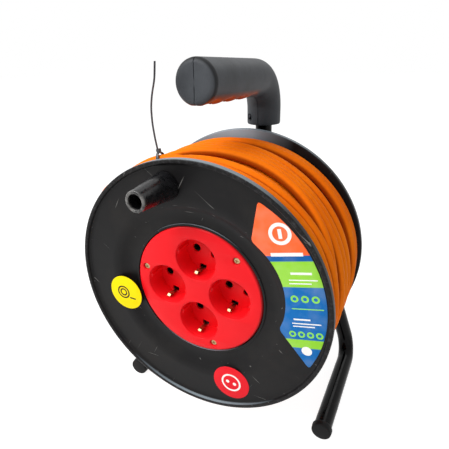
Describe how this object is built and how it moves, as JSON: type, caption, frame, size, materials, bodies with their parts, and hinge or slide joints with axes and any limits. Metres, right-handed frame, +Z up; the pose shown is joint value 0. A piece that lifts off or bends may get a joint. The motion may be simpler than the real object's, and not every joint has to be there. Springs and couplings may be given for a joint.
{
  "type": "extension cord reel",
  "caption": "Cable drum with socket plate and crank knob turning on a bent-tube stand with a pistol-type grip, wound with round orange mains cable ending in an earthed plug",
  "frame": {"origin": "on the floor, under the middle of the stand and drum without their cable", "axes": "+X to the right and +Z up as seen from the socket side, +Y from the sockets towards the stand's post"},
  "size_m": [0.2834, 0.2366, 0.3746],
  "materials": {
    "black_plastic": "semi-matt moulded, scuffed",
    "grip_plastic": "matt moulded",
    "red_plastic": "satin moulded",
    "black_enamel": "gloss powder coat",
    "zinc_steel": "bright zinc plate",
    "brass": "bare pressed brass",
    "orange_sheath": "satin extruded PVC",
    "grey_plastic": "moulded",
    "yellow_paper": "plain printed film",
    "red_paper": "plain printed film",
    "label_paper": "printed film, plain colour fields"
  },
  "bodies": {
    "stand": {"axle": "zinc_steel", "rear_washer": "zinc_steel", "front_washer": "zinc_steel", "axle_nut": "zinc_steel", "foot_tube": "black_enamel", "post_tube": "black_enamel", "axle_bracket": "black_enamel", "bracket_bolt_lower": "zinc_steel", "bracket_nut_lower": "zinc_steel", "bracket_bolt_upper": "zinc_steel", "bracket_nut_upper": "zinc_steel", "foot_cap_left": "black_plastic", "foot_cap_right": "black_plastic", "grip_half_left": "grip_plastic", "grip_half_right": "grip_plastic", "grip_screw_1": "zinc_steel", "grip_screw_2": "zinc_steel"},
    "drum": {"front_flange": "black_plastic", "rear_flange": "black_plastic", "drum_barrel": "black_plastic", "drum_screw_1": "zinc_steel", "drum_screw_2": "zinc_steel", "drum_screw_3": "zinc_steel", "drum_screw_4": "zinc_steel", "socket_plate": "red_plastic", "socket_cup_right": "red_plastic", "socket_cup_top": "red_plastic", "socket_cup_left": "red_plastic", "socket_cup_bottom": "red_plastic", "earth_clip_right": "brass", "earth_clip_top": "brass", "earth_clip_left": "brass", "earth_clip_bottom": "brass", "live_bus_bar": "brass", "neutral_bus_bar": "brass", "socket_back_cover": "grey_plastic", "plate_screw_1": "brass", "plate_screw_2": "brass", "plate_screw_3": "brass", "terminal_block": "grey_plastic", "cable_clamp_base": "grey_plastic", "cable_clamp_cap": "grey_plastic", "hub_bush": "brass", "knob_washer": "zinc_steel", "knob_screw": "zinc_steel", "length_sticker": "yellow_paper", "power_sticker": "red_paper", "side_label": "label_paper", "cable_inner_end": "orange_sheath", "cable_outer_layer": "orange_sheath", "cable_core": "orange_sheath", "cable_tail": "orange_sheath", "plug_body": "black_plastic", "plug_pin_outer": "zinc_steel", "plug_pin_inner": "zinc_steel", "cable_tie": "black_plastic"},
    "crank": {"crank_knob": "black_plastic"}
  },
  "joints": [
    {"name": "drum_spin", "type": "hinge", "parent": "stand", "child": "drum", "pos_m": [0, -0.01168, 0.1761], "axis": [0, 1, 0], "continuous": true},
    {"name": "knob_spin", "type": "hinge", "parent": "drum", "child": "crank", "pos_m": [-0.02199, -0.09668, 0.27611], "axis": [0, 1, 0], "continuous": true}
  ]
}
